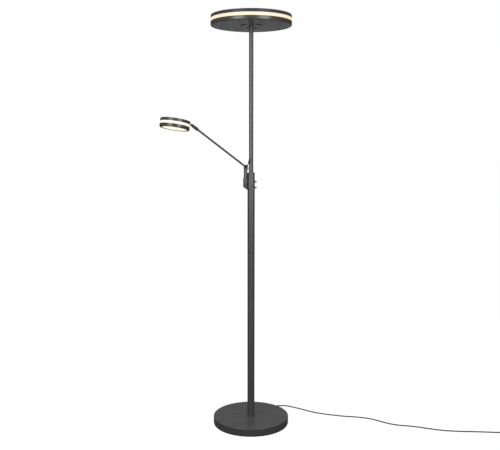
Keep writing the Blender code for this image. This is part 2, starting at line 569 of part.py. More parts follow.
def make_reading_head():
    centre = HINGE + OUTWARD * READING_REACH - HEAD_UP * READING_RISE
    frame = frame_at(centre, HEAD_UP, -OUTWARD)
    radius = READING_RADIUS
    wall = 0.0015
    cap = turned("reading_top_shell", [
        (0, READING_HALF), *arc((radius - 0.002, READING_HALF - 0.002), 0.002, 90, 0, 2),
        (radius, SIDE_TOP + GAP), (radius - wall, SIDE_TOP + GAP), (radius - wall, READING_HALF - wall),
        (0, READING_HALF - wall)], ANTHRACITE, BIG_STEPS, frame)
    band = turned("reading_side_diffuser", [
        (radius - 0.0026, SIDE_TOP), (radius - 0.0005, SIDE_TOP), (radius - 0.0005, SIDE_BOTTOM + GAP),
        (radius - 0.0026, SIDE_BOTTOM + GAP)], OPAL, BIG_STEPS, frame)
    notch = block("lug_notch", (0.058, -0.0027, SIDE_BOTTOM - 0.002), (0.072, 0.0027, SIDE_TOP + 0.002), None,
                  frame, cutter=True)
    cut(band, notch)
    ring = turned("reading_lower_ring", [
        (radius - wall, SIDE_BOTTOM), (radius, SIDE_BOTTOM),
        *arc((radius - 0.003, 0.003 - READING_HALF), 0.003, 0, -90, 3), (0.0542, -READING_HALF),
        (0.0542, wall - READING_HALF), (radius - wall, wall - READING_HALF)], ANTHRACITE, BIG_STEPS, frame)
    panel = turned("reading_panel_diffuser", [
        (0, 0.0038 - READING_HALF), (radius - 0.0020, 0.0038 - READING_HALF),
        (radius - 0.0020, 0.0018 - READING_HALF), (0, 0.0018 - READING_HALF)], OPAL, BIG_STEPS, frame)
    carrier = turned("reading_carrier", [
        (0, 0.0078), (radius - 0.0031, 0.0078), (radius - 0.0031, 0.0058), (0, 0.0058)], ALUMINIUM, STEPS, frame)
    board = turned("reading_led_board", [(0, 0.0055), (0.0480, 0.0055), (0.0480, 0.0039), (0, 0.0039)],
                   BOARD, STEPS, frame)
    pin_at = (READING_REACH, READING_RISE)
    side = frame_at(centre, HINGE_AXIS, -OUTWARD)
    tip = arc(pin_at, 0.0042, 135, -90, 9)
    tongue = [(0.0500, 0.0050), (0.0600, 0.0050), (0.0668, 0.0054), *tip, (0.0620, -0.0027), (0.0500, 0.0020)]
    hole = circle(0.0015, 12, pin_at)
    lug = outline_solid("reading_lug", [tongue, hole], 0.0040, ALUMINIUM, side)
    foot = block("lug_foot", (0.0505, -0.0065, 0.0021), (0.0610, 0.0065, 0.0050), None, frame, cutter=True)
    joined(lug, foot)
    hang_on(joint_empty("head_tilt_axis", HINGE), cap, band, ring, panel, carrier, board, lug)


# Mains cord and plug

CORD_ROUTE = [
    (0.1368, 0.1751, 0.0120), (0.1478, 0.1892, 0.0072), (0.1550, 0.1955, 0.0048),
    (0.1640, 0.1986, 0.0033), (0.1735, 0.1981, CORD_FLOOR), (0.1811, 0.1948, CORD_FLOOR),
    (0.1985, 0.1835, CORD_FLOOR), (0.2169, 0.1718, CORD_FLOOR), (0.2531, 0.1462, CORD_FLOOR),
    (0.2887, 0.1195, CORD_FLOOR), (0.3244, 0.1005, CORD_FLOOR), (0.3783, 0.0810, CORD_FLOOR),
    (0.4317, 0.0655, CORD_FLOOR), (0.4860, 0.0560, CORD_FLOOR), (0.5387, 0.0386, CORD_FLOOR),
    (0.5717, 0.0173, CORD_FLOOR), (0.6034, -0.0083, CORD_FLOOR), (0.6352, -0.0295, CORD_FLOOR),
    (0.6686, -0.0427, CORD_FLOOR), (0.7030, -0.0500, CORD_FLOOR), (0.7500, -0.0640, CORD_FLOOR),
    (0.7950, -0.0830, CORD_FLOOR), (0.8500, -0.1010, CORD_FLOOR), (0.9100, -0.1100, CORD_FLOOR),
    (0.9800, -0.1140, CORD_FLOOR), (1.0500, -0.1200, CORD_FLOOR), (1.1000, -0.1240, CORD_FLOOR),
    (1.1300, -0.1240, CORD_FLOOR)]


def make_cord():
    start = around(BASE_RADIUS + 0.0363, CORD_HEIGHT)
    outer = COIL_RADIUS + CORD_RADIUS * 2
    reach = COIL_CENTRE.x - math.sqrt((outer + GAP) ** 2 - COIL_RADIUS ** 2)
    route = [start, *CORD_ROUTE[:-1], (reach, CORD_ROUTE[-1][1], CORD_FLOOR)]
    tube("mains_cord", smooth_route(route, 0.0220), CORD_RADIUS, CABLE)
    inner = COIL_RADIUS - CORD_RADIUS * 2
    top = COIL_LIFT + CORD_RADIUS * 4
    turned("mains_cord_coil", [
        (inner + 0.0020, top), (outer - 0.0020, top), (outer, top - 0.0030), (outer, COIL_LIFT + 0.0015),
        (outer - 0.0015, COIL_LIFT), (inner + 0.0015, COIL_LIFT), (inner, COIL_LIFT + 0.0015),
        (inner, top - 0.0030)], CABLE, STEPS, Matrix.Translation(COIL_CENTRE))
    angle = math.radians(215)
    radial = Vector((math.cos(angle), math.sin(angle), 0))
    plane = frame_at(COIL_CENTRE + radial * COIL_RADIUS, radial.cross(UP), radial)
    side = (plane.to_3x3() @ Vector((0, 1, 0))).z
    half = CORD_RADIUS * 2 + 0.0006
    inside = [(-half, COIL_LIFT - 0.0004), (half, COIL_LIFT - 0.0004), (half, top - 0.0020),
              (half - 0.0022, top + 0.0006), (0.0022 - half, top + 0.0006), (-half, top - 0.0020)]
    outside = [(x * 1.11, z + (0.0006 if z > COIL_LIFT else -0.0006)) for x, z in inside]
    outlines = [[(x, side * z) for x, z in points] for points in (outside, inside)]
    outline_solid("cord_tie", outlines, 0.0050, BLACK_PLASTIC, plane)


def make_plug():
    """A flat two-pin plug beside the coil, with its own strain relief."""
    cord_x = COIL_CENTRE.x + COIL_RADIUS + CORD_RADIUS
    lift = 0.0070
    frame = frame_at((cord_x, COIL_CENTRE.y, lift), UP, (0, -1, 0))
    outline = [(0.0460, -0.0050), (0.0540, -0.0125), (0.0790, -0.0175), (0.0830, -0.0165), (0.0830, 0.0165),
               (0.0790, 0.0175), (0.0540, 0.0125), (0.0460, 0.0050)]
    body = outline_solid("plug_body", [outline], 0.0136, BLACK_PLASTIC, frame)
    relief = turned("plug_relief", [
        (0, 0.0500), (0.0056, 0.0500), (0.0036, 0.0240), (0, 0.0240)], None, SMALL_STEPS,
        frame_at((cord_x, COIL_CENTRE.y, lift), (0, -1, 0)), cutter=True)
    joined(body, relief)
    for number, side in enumerate((-1, 1), 1):
        start = Vector((cord_x + side * 0.0093, COIL_CENTRE.y - 0.0833, lift))
        rod(f"plug_pin_{number}", 0.0020, start, start - Vector((0, 0.0190, 0)), BRASS)


make_base()
make_cord_gland()
make_pole()
make_inner_lead()
make_uplighter()
for knob_name, knob_height in KNOB_HEIGHTS.items():
    make_dimmer(knob_name, knob_height)
make_socket()
make_swivel()
make_arm_cable()
make_arm()
make_yoke()
make_reading_head()
make_cord()
make_plug()
bpy.context.view_layer.update()
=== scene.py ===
"""The looks of a torchiere floor lamp with a reading arm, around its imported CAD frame. Metres, +Z up."""

import json
import math

import bmesh
import bpy
from mathutils import Matrix, Vector


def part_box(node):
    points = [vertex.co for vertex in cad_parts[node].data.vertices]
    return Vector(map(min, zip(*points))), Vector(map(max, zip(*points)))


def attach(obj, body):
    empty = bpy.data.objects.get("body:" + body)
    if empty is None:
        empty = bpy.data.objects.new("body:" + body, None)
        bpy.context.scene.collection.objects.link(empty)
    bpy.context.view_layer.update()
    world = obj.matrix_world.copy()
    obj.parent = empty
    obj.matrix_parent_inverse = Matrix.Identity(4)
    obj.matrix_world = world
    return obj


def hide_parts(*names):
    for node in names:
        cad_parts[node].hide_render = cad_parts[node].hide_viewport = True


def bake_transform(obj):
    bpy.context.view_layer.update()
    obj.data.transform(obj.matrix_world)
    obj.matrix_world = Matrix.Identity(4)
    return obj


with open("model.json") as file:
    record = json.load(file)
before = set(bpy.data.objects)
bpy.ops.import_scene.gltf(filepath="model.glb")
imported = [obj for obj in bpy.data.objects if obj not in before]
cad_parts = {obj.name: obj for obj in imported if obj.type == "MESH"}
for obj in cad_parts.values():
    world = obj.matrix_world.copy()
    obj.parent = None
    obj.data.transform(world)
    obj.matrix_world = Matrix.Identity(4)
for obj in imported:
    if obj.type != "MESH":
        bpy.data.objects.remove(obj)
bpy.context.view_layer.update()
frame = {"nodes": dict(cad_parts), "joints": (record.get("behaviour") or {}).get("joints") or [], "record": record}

RECORD = frame["record"]
NODE_SLOT = {part["node"]: part["material_slot"] for part in RECORD["subparts"]}
NODE_BODY = {node: body for body, nodes in RECORD["behaviour"]["bodies"].items() for node in nodes}
JOINTS = {joint["name"]: joint for joint in frame["joints"]}

# Places and directions, from the joints
POST_X, _, SOCKET_TOP = JOINTS["arm_swivel"]["pos_m"]
KNUCKLE = Vector(JOINTS["arm_tilt"]["pos_m"])
HINGE = Vector(JOINTS["head_tilt"]["pos_m"])
ALONG = Vector(JOINTS["head_twist"]["axis"])
HINGE_AXIS = Vector(JOINTS["head_tilt"]["axis"])
HEAD_DROP = math.radians(29.7)
OUTWARD = Matrix.Rotation(HEAD_DROP, 3, HINGE_AXIS) @ ALONG
HEAD_UP = OUTWARD.cross(HINGE_AXIS)
READING_REACH = 0.0722
READING_RISE = 0.0070
READING_CENTRE = HINGE + OUTWARD * READING_REACH - HEAD_UP * READING_RISE

# Sizes that the pieces share
GAP = 0.0003
UP = Vector((0, 0, 1))
STEM_RADIUS = 0.0050
SHEET = 0.0012
ARM_RADIUS = 0.0043
ARM_START = 0.0114
EYE_RADIUS = 0.0070
READING_RADIUS = 0.0655
READING_HALF = 0.0193
SIDE_TOP = 0.0058
SIDE_BOTTOM = -0.0055

CORD_AZIMUTH = math.radians(52.0)
CORD_HEIGHT = 0.0165
CORD_RADIUS = 0.0027
CORD_FLOOR = 0.0028
COIL_RADIUS = 0.0315
COIL_CENTRE = Vector((1.1560, -0.1240 - COIL_RADIUS - CORD_RADIUS, 0.0))
COIL_TURNS = 3.25
RELIEF_LENGTH = 0.0360
PLUG_LIFT = 0.0070

BOOT_ROOT = Vector((-0.0050, -0.0090, 1.1910))
BOOT_TIP = Vector((-0.0122, -0.0108, 1.1705))
CABLE_ENTRY = Vector((POST_X + 0.0110, 0.0, 1.1445))
CABLE_RADIUS = 0.0016

# Sides of a round piece, from the base and the head down to the screws
WIDE_STEPS = 256
STEPS = 128
RIPPLE_STEPS = 144
POST_STEPS = 96
SMALL_STEPS = 64

CAMERA_PLACE = (-0.0050, -3.1505, 1.2545)
CAMERA_TILT = math.radians(83.6)
CAMERA_ROLL = math.radians(-0.04)
LENS_MM = 51.84
SENSOR_MM = 36.0


# Procedural materials

LOW_STOP = 0.3
HIGH_STOP = 0.7
BUMP_STRENGTH = 0.8


def node(tree, kind, **settings):
    made = tree.nodes.new(kind)
    for name, value in settings.items():
        if name in made.inputs:
            made.inputs[name].default_value = value
        else:
            setattr(made, name, value)
    return made


def coordinates(tree, stretch=(1, 1, 1), source="Object"):
    place = node(tree, "ShaderNodeTexCoord")
    mapping = node(tree, "ShaderNodeMapping", Scale=stretch)
    tree.links.new(place.outputs[source], mapping.inputs["Vector"])
    return mapping.outputs["Vector"]


def noise(tree, scale, detail=3.0, stretch=(1, 1, 1)):
    texture = node(tree, "ShaderNodeTexNoise", Scale=scale, Detail=detail)
    tree.links.new(coordinates(tree, stretch), texture.inputs["Vector"])
    return texture.outputs["Fac"]


def cells(tree, scale):
    texture = node(tree, "ShaderNodeTexVoronoi", Scale=scale)
    tree.links.new(coordinates(tree), texture.inputs["Vector"])
    return texture.outputs["Distance"]


def ramp(tree, factor, *stops):
    """A colour ramp with (position, grey or colour) stops."""
    made = node(tree, "ShaderNodeValToRGB")
    elements = made.color_ramp.elements
    while len(elements) < len(stops):
        elements.new(0.5)
    for element, (position, colour) in zip(elements, stops):
        element.position = position
        element.color = (*colour, 1.0) if isinstance(colour, tuple) else (colour, colour, colour, 1.0)
    tree.links.new(factor, made.inputs["Fac"])
    return made.outputs["Color"]


def varied(tree, scale, detail, low, high):
    """Noise that wanders between two greys or colours."""
    return ramp(tree, noise(tree, scale, detail), (LOW_STOP, low), (HIGH_STOP, high))


def mixed(tree, factor, first, second, blend="MIX"):
    """Two colours mixed. The numbers are the node's sockets for the factor and for colours."""
    made = node(tree, "ShaderNodeMix", data_type="RGBA", blend_type=blend)
    for source, target in ((factor, 0), (first, 6), (second, 7)):
        if isinstance(source, bpy.types.NodeSocket):
            tree.links.new(source, made.inputs[target])
        else:
            made.inputs[target].default_value = source
    return made.outputs[2]


def new_material(name, metallic=0.0, roughness=0.5, specular=0.5):
    material = bpy.data.materials.new(name)
    material.use_nodes = True
    tree = material.node_tree
    shader = tree.nodes["Principled BSDF"]
    shader.inputs["Metallic"].default_value = metallic
    shader.inputs["Roughness"].default_value = roughness
    shader.inputs["Specular IOR Level"].default_value = specular
    return material, tree, shader


def wire(tree, shader, colour, roughness, heights):
    """Links the shader's colour and roughness, and its bumps as (height, depth in metres) pairs."""
    tree.links.new(colour, shader.inputs["Base Color"])
    tree.links.new(roughness, shader.inputs["Roughness"])
    normal = None
    for height, depth in heights:
        bump = node(tree, "ShaderNodeBump", Distance=depth, Strength=BUMP_STRENGTH)
        tree.links.new(height, bump.inputs["Height"])
        if normal is not None:
            tree.links.new(normal, bump.inputs["Normal"])
        normal = bump.outputs["Normal"]
    tree.links.new(normal, shader.inputs["Normal"])


def paint(name, dark, light, rough_low, rough_high):
    """Satin powder coat: an even grey with a faint cloudiness, fine specks and orange peel."""
    material, tree, shader = new_material(name)
    cloud = varied(tree, 22.0, 4.0, dark, light)
    speck = ramp(tree, noise(tree, 2600.0, 2.0), (0.42, 0.72), (0.62, 1.0))
    colour = mixed(tree, 0.5, cloud, speck, "MULTIPLY")
    sheen = varied(tree, 60.0, 5.0, rough_low, rough_high)
    wire(tree, shader, colour, sheen,
         [(noise(tree, 950.0, 2.0), 0.00006), (noise(tree, 3800.0, 2.0), 0.00002)])
    return material


def moulded(name, dark, light, rough_low, rough_high, grain=3200.0):
    """Spark-textured plastic or rubber, with a slight shift of tone and gloss."""
    material, tree, shader = new_material(name, specular=0.42)
    colour = varied(tree, 180.0, 4.0, dark, light)
    gloss = varied(tree, 420.0, 3.0, rough_low, rough_high)
    wire(tree, shader, colour, gloss, [(cells(tree, grain), 0.00004), (noise(tree, 700.0, 3.0), 0.00002)])
    return material


def metal(name, dark, light, rough_low, rough_high, stretch):
    """Bare metal with drawn or turned lines along one direction."""
    material, tree, shader = new_material(name, metallic=1.0)
    colour = varied(tree, 240.0, 4.0, dark, light)
    lines = noise(tree, 900.0, 3.0, stretch)
    gloss = ramp(tree, lines, (LOW_STOP, rough_low), (HIGH_STOP, rough_high))
    wire(tree, shader, colour, gloss, [(lines, 0.00001)])
    return material


def cast(name):
    """Rough cast iron, dark and pitted."""
    material, tree, shader = new_material(name, metallic=0.6, specular=0.3)
    colour = varied(tree, 35.0, 6.0, (0.035, 0.033, 0.031), (0.085, 0.08, 0.075))
    gloss = varied(tree, 200.0, 4.0, 0.62, 0.85)
    wire(tree, shader, colour, gloss, [(noise(tree, 300.0, 6.0), 0.0004), (cells(tree, 1400.0), 0.0001)])
    return material


def led_board(name):
    """White solder mask with rows of small yellow emitters."""
    material, tree, shader = new_material(name, roughness=0.4)
    brick = node(tree, "ShaderNodeTexBrick", Scale=30.0, offset=0.5)
    brick.inputs["Color1"].default_value = (0.85, 0.62, 0.12, 1.0)
    brick.inputs["Color2"].default_value = (0.80, 0.58, 0.10, 1.0)
    brick.inputs["Mortar"].default_value = (0.85, 0.85, 0.82, 1.0)
    brick.inputs["Mortar Size"].default_value = 0.09
    tree.links.new(coordinates(tree), brick.inputs["Vector"])
    gloss = varied(tree, 300.0, 3.0, 0.35, 0.5)
    wire(tree, shader, brick.outputs["Color"], gloss, [(brick.outputs["Fac"], 0.0001)])
    return material


def opal(name, strength, pattern):
    """Frosted opal plastic lit from behind. pattern makes its light's colour from the tree."""
    material, tree, shader = new_material(name, roughness=0.45)
    body = varied(tree, 500.0, 3.0, (0.11, 0.11, 0.106), (0.13, 0.13, 0.126))
    gloss = varied(tree, 260.0, 3.0, 0.4, 0.52)
    tree.links.new(pattern(tree), shader.inputs["Emission Color"])
    shader.inputs["Emission Strength"].default_value = strength
    wire(tree, shader, body, gloss, [(noise(tree, 2400.0, 2.0), 0.00002)])
    return material


WARM_WHITE = (1.0, 0.82, 0.54)
WARM_EDGE = (1.0, 0.76, 0.48)
PALE_WHITE = (1.0, 0.94, 0.74)


def band_glow(warm, edge):
    """Bright along the middle of a band's height and a little warmer where its light meets the metal."""
    def pattern(tree):
        place = node(tree, "ShaderNodeTexCoord")
        split = node(tree, "ShaderNodeSeparateXYZ")
        tree.links.new(place.outputs["Generated"], split.inputs["Vector"])
        across = ramp(tree, split.outputs["Z"], (0.0, edge), (0.22, warm), (0.8, warm), (1.0, edge))
        mottle = varied(tree, 90.0, 3.0, 0.97, 1.0)
        return mixed(tree, 1.0, across, mottle, "MULTIPLY")
    return pattern


def panel_glow(warm, edge, radius):
    """Even over a round panel and warmer close to its rim."""
    def pattern(tree):
        place = node(tree, "ShaderNodeTexCoord")
        length = node(tree, "ShaderNodeVectorMath", operation="LENGTH")
        flat = node(tree, "ShaderNodeMapping", Scale=(1 / radius, 1 / radius, 0.0))
        tree.links.new(place.outputs["Object"], flat.inputs["Vector"])
        tree.links.new(flat.outputs["Vector"], length.inputs[0])
        across = ramp(tree, length.outputs["Value"], (0.0, warm), (0.86, warm), (1.0, edge))
        mottle = varied(tree, 70.0, 3.0, 0.965, 1.0)
        return mixed(tree, 1.0, across, mottle, "MULTIPLY")
    return pattern


FINISHES = {
    "anthracite_paint": paint("anthracite_paint_finish", (0.038, 0.038, 0.040), (0.046, 0.046, 0.048),
                              0.22, 0.29),
    # The knobs' grey is far lighter than the anthracite: their own tone together with a painted highlight for the
    # light their faces catch.
    "knob_paint": paint("knob_paint_and_highlight_finish", (0.27, 0.27, 0.27), (0.31, 0.31, 0.31), 0.28, 0.36),
    "black_plastic": moulded("black_plastic_finish", 0.014, 0.020, 0.40, 0.52),
    "black_rubber": moulded("black_rubber_finish", 0.010, 0.016, 0.58, 0.72, 2200.0),
    "cable_jacket": moulded("cable_jacket_finish", 0.011, 0.016, 0.46, 0.60, 4200.0),
    "zinc_plated_steel": metal("zinc_finish", (0.52, 0.53, 0.55), (0.64, 0.65, 0.66), 0.24, 0.40,
                               (1, 1, 0.1)),
    "aluminium": metal("aluminium_finish", (0.62, 0.62, 0.63), (0.74, 0.74, 0.75), 0.30, 0.46, (1, 0.08, 1)),
    "brass": metal("brass_finish", (0.60, 0.45, 0.19), (0.74, 0.58, 0.27), 0.22, 0.36, (1, 0.1, 1)),
    "blackened_steel": metal("blackened_finish", 0.030, 0.044, 0.38, 0.52, (1, 1, 0.1)),
    "cast_iron": cast("cast_iron_finish"),
    "led_board": led_board("led_board_finish"),
}
HEAD_BAND = opal("head_band_glow", 0.94, band_glow(WARM_WHITE, WARM_EDGE))
READING_BAND = opal("reading_band_glow", 0.95, band_glow(PALE_WHITE, PALE_WHITE))
HEAD_PANEL = opal("head_panel_glow", 0.92, panel_glow(PALE_WHITE, WARM_WHITE, 0.158))
READING_PANEL = opal("reading_panel_glow", 1.02, panel_glow(PALE_WHITE, WARM_WHITE, 0.055))


# Mesh helpers

ARC_ROOM = 0.49
HOLD_OF_ARC = 0.3
HOLD_OF_REST = 0.4
ON_AXIS = 1e-7
X_AXIS = Vector((1, 0, 0))


def frame_at(origin, z_axis, x_hint=X_AXIS):
    """A frame with its Z along z_axis and its X as near x_hint as that allows."""
    z = Vector(z_axis).normalized()
    x = (Vector(x_hint) - z * z.dot(Vector(x_hint))).normalized()
    rotation = Matrix((x, z.cross(x), z)).transposed()
    return Matrix.Translation(origin) @ rotation.to_4x4()


def filleted(corners, closed, arc_steps=5):
    """The outline through (x, y) or (x, y, radius) corners, with the radiused ones rounded and a holding
    point just outside each end of an arc, so that flat faces shade flat."""
    outline = []
    count = len(corners)
    for index, corner in enumerate(corners):
        at = Vector(corner[:2])
        radius = corner[2] if len(corner) > 2 else 0.0
        if radius <= 0 or (not closed and index in (0, count - 1)):
            outline.append(at)
            continue
        before = Vector(corners[index - 1][:2]) - at
        after = Vector(corners[(index + 1) % count][:2]) - at
        room = min(before.length, after.length)
        before.normalize()
        after.normalize()
        half = before.angle(after) / 2
        reach = min(radius / math.tan(half), room * ARC_ROOM)
        radius = reach * math.tan(half)
        centre = at + (before + after).normalized() * (radius / math.sin(half))
        start = at + before * reach
        end = at + after * reach
        hold = min(reach * HOLD_OF_ARC, (room - reach) * HOLD_OF_REST)
        outline.append(start + before * hold)
        angle = (start - centre).angle(end - centre)
        for step in range(arc_steps + 1):
            share = step / arc_steps
            blend = ((start - centre) * math.sin((1 - share) * angle)
                     + (end - centre) * math.sin(share * angle)) / math.sin(angle)
            outline.append(centre + blend)
        outline.append(end + after * hold)
    return outline


def shade(mesh, angle=32.0):
    mesh.polygons.foreach_set("use_smooth", [True] * len(mesh.polygons))
    mesh.set_sharp_from_angle(angle=math.radians(angle))


def new_object(name, mesh, place=Matrix()):
    obj = bpy.data.objects.new(name, mesh)
    bpy.context.scene.collection.objects.link(obj)
    obj.matrix_world = place
    return obj


def from_bmesh(name, shape, place=Matrix()):
    bmesh.ops.recalc_face_normals(shape, faces=shape.faces)
    mesh = bpy.data.meshes.new(name)
    shape.to_mesh(mesh)
    shape.free()
    shade(mesh)
    return new_object(name, mesh, place)


def lathe(name, corners, place=Matrix(), steps=STEPS, arc_steps=5, ripple=None):
    """A solid turned about the frame's Z. A profile that starts and ends on the axis is closed by it.
    ripple(radius, height, angle) gives a changed radius."""
    closed = corners[0][0] > 0.0
    outline = filleted(corners, closed, arc_steps)
    shape = bmesh.new()
    rings = []
    for radius, height in outline:
        if radius < ON_AXIS:
            rings.append([shape.verts.new((0, 0, height))])
            continue
        ring = []
        for step in range(steps):
            angle = 2 * math.pi * step / steps
            reach = ripple(radius, height, angle) if ripple else radius
            ring.append(shape.verts.new((reach * math.cos(angle), reach * math.sin(angle), height)))
        rings.append(ring)
    pairs = list(zip(rings, rings[1:]))
    if closed:
        pairs.append((rings[-1], rings[0]))
    for first, second in pairs:
        if len(first) == 1 and len(second) == 1:
            continue
        for step in range(steps):
            following = (step + 1) % steps
            face = [first[step % len(first)], first[following % len(first)],
                    second[following % len(second)], second[step % len(second)]]
            shape.faces.new(list(dict.fromkeys(face)))
    return from_bmesh(name, shape, place)


def rod(name, radius, start, end, steps=SMALL_STEPS):
    """A plain cylinder between two points, mostly to cut with."""
    start, end = Vector(start), Vector(end)
    shape = bmesh.new()
    bmesh.ops.create_cone(shape, cap_ends=True, segments=steps, radius1=radius, radius2=radius,
                          depth=(end - start).length)
    return from_bmesh(name, shape, frame_at((start + end) / 2, end - start, (1, 0.01, 0)))


def block(name, low, high, place=Matrix()):
    """A box between two corners of the frame."""
    low, high = Vector(low), Vector(high)
    shape = bmesh.new()
    bmesh.ops.create_cube(shape, size=1.0)
    bmesh.ops.scale(shape, vec=high - low, verts=shape.verts)
    bmesh.ops.translate(shape, vec=(low + high) / 2, verts=shape.verts)
    return from_bmesh(name, shape, place)


def prism(name, corners, half, place):
    """A filleted outline in the frame's XY, extruded by half each way along its Z."""
    outline = filleted(corners, True, 6)
    shape = bmesh.new()
    low = [shape.verts.new((x, y, -half)) for x, y in outline]
    high = [shape.verts.new((x, y, half)) for x, y in outline]
    shape.faces.new(low)
    shape.faces.new(high)
    for index in range(len(outline)):
        following = (index + 1) % len(outline)
        shape.faces.new((low[index], low[following], high[following], high[index]))
    return from_bmesh(name, shape, place)


def evaluated_mesh(obj):
    """A mesh of the object as its modifiers or its curve settings leave it."""
    bpy.context.view_layer.update()
    graph = bpy.context.evaluated_depsgraph_get()
    return bpy.data.meshes.new_from_object(obj.evaluated_get(graph))


def settle(obj):
    """Turns the object's modifiers into its mesh."""
    mesh = evaluated_mesh(obj)
    old = obj.data
    obj.modifiers.clear()
    obj.data = mesh
    bpy.data.meshes.remove(old)
    shade(mesh)
    return obj


def combine(obj, others, operation):
    """The object after a boolean with each of the others, which are used up."""
    for other in others:
        boolean = obj.modifiers.new(operation.title(), "BOOLEAN")
        boolean.operation = operation
        boolean.solver = "EXACT"
        boolean.object = other
    settle(obj)
    for other in others:
        mesh = other.data
        bpy.data.objects.remove(other)
        bpy.data.meshes.remove(mesh)
    return obj


def carve(obj, *cutters):
    return combine(obj, cutters, "DIFFERENCE")


def weld(obj, *others):
    return combine(obj, others, "UNION")


def soften(obj, width, segments=3, angle=35.0):
    """Rounds the edges that are sharper than the angle in degrees."""
    bevel = obj.modifiers.new("Soften", "BEVEL")
    bevel.width = width
    bevel.segments = segments
    bevel.limit_method = "ANGLE"
    bevel.angle_limit = math.radians(angle)
    bevel.use_clamp_overlap = True
    return settle(obj)


def dress(obj, node_name, material=None):
    """The object stands for that CAD node: it takes the node's slot and rides on its body."""
    obj.name = f"{node_name}_visual"
    obj.data.name = obj.name
    obj.data.materials.clear()
    obj.data.materials.append(material or FINISHES[NODE_SLOT[node_name]])
    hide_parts(node_name)
    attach(obj, NODE_BODY[node_name])
    return obj


def span(node_name):
    """The lowest and highest level of an upright round node, and its outer radius."""
    low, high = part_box(node_name)
    return low.z, high.z, (high.y - low.y) / 2


def around(radius, height):
    """A point at a distance from the pole's axis, in the direction where the cord leaves the base."""
    return Vector((radius * math.cos(CORD_AZIMUTH), radius * math.sin(CORD_AZIMUTH), height))


def smooth_route(points, spacing):
    """Points about one spacing apart on a smooth curve through the given points."""
    route = [Vector(p) for p in points]
    route = [route[0] * 2 - route[1], *route, route[-1] * 2 - route[-2]]
    out = []
    for before, start, end, after in zip(route, route[1:], route[2:], route[3:]):
        steps = max(1, round((end - start).length / spacing))
        for i in range(steps):
            t = i / steps
            bend = (before * -1 + start * 3 - end * 3 + after) * t ** 3
            slope = (before * 2 - start * 5 + end * 4 - after) * t ** 2
            out.append((bend + slope + (end - before) * t + start * 2) / 2)
    out.append(route[-2])
    return out


def eased(value):
    """0 up to 0 and 1 from 1 on, with a smooth rise between."""
    value = min(max(value, 0.0), 1.0)
    return value * value * (3 - 2 * value)


def tube(name, points, radius, resolution=6):
    """A round curve object through the points."""
    data = bpy.data.curves.new(name, "CURVE")
    data.dimensions = "3D"
    data.bevel_depth = radius
    data.bevel_resolution = resolution
    data.use_fill_caps = True
    spline = data.splines.new("POLY")
    spline.points.add(len(points) - 1)
    for point, co in zip(spline.points, points):
        point.co = (*co, 1.0)
    spline.use_smooth = True
    return new_object(name, data)


# Camera

def make_camera():
    data = bpy.data.cameras.new("view")
    data.sensor_width = SENSOR_MM
    data.lens = LENS_MM
    camera = new_object("view", data)
    camera.location = CAMERA_PLACE
    camera.rotation_euler = (CAMERA_TILT, CAMERA_ROLL, 0.0)
    bpy.context.scene.camera = camera


# Mains cord, its coil and its plug

CORD_ROUTE = [
    (0.1368, 0.1751, 0.0120), (0.1478, 0.1892, 0.0072), (0.1550, 0.1955, 0.0048),
    (0.1640, 0.1986, 0.0033), (0.1735, 0.1981, CORD_FLOOR), (0.1811, 0.1948, CORD_FLOOR),
    (0.1985, 0.1835, CORD_FLOOR), (0.2169, 0.1718, CORD_FLOOR), (0.2531, 0.1462, CORD_FLOOR),
    (0.2887, 0.1195, CORD_FLOOR), (0.3244, 0.1005, CORD_FLOOR), (0.3783, 0.0810, CORD_FLOOR),
    (0.4317, 0.0655, CORD_FLOOR), (0.4860, 0.0560, CORD_FLOOR), (0.5387, 0.0386, CORD_FLOOR),
    (0.5717, 0.0173, CORD_FLOOR), (0.6034, -0.0083, CORD_FLOOR), (0.6352, -0.0295, CORD_FLOOR),
    (0.6686, -0.0427, CORD_FLOOR), (0.7030, -0.0500, CORD_FLOOR), (0.7500, -0.0640, CORD_FLOOR),
    (0.7950, -0.0830, CORD_FLOOR), (0.8500, -0.1010, CORD_FLOOR), (0.9100, -0.1100, CORD_FLOOR),
    (0.9800, -0.1140, CORD_FLOOR), (1.0500, -0.1200, CORD_FLOOR), (1.1000, -0.1240, CORD_FLOOR),
    (1.1300, -0.1240, CORD_FLOOR)]


COIL_POINTS_A_TURN = 40


def coil_point(turn):
    """A point of the coil: clockwise from its far side, in two layers of two turns' width."""
    angle = math.pi / 2 - 2 * math.pi * turn
    inward = eased((turn - 0.75) / 0.25) - eased((turn - 2.5) / 0.25)
    radius = COIL_RADIUS + CORD_RADIUS * (1 - 2 * inward)
    height = CORD_FLOOR + 2 * CORD_RADIUS * eased((turn - 1.5) / 0.25)
    return COIL_CENTRE + Vector((radius * math.cos(angle), radius * math.sin(angle), height))


def make_cord():
    base_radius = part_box("base_cover")[1].x
    start = [around(base_radius - 0.004, CORD_HEIGHT), around(base_radius + RELIEF_LENGTH, CORD_HEIGHT)]
    points = smooth_route([*start, *CORD_ROUTE, coil_point(0.0)], 0.004)
    coil_steps = int(COIL_TURNS * COIL_POINTS_A_TURN)
    points += [coil_point(COIL_TURNS * step / coil_steps) for step in range(1, coil_steps + 1)]
    last = points[-1]
    into_plug = Vector((last.x, COIL_CENTRE.y - 0.030, PLUG_LIFT))
    points += smooth_route([last, last + Vector((0, -0.010, -0.0002)), into_plug], 0.003)[1:]
    cord = tube("mains_cord_visual", points, CORD_RADIUS)
    cord.data.materials.append(FINISHES["cable_jacket"])
    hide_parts("mains_cord", "mains_cord_coil")
    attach(cord, "stand")
    pieces = [make_tie(), *make_plug()]


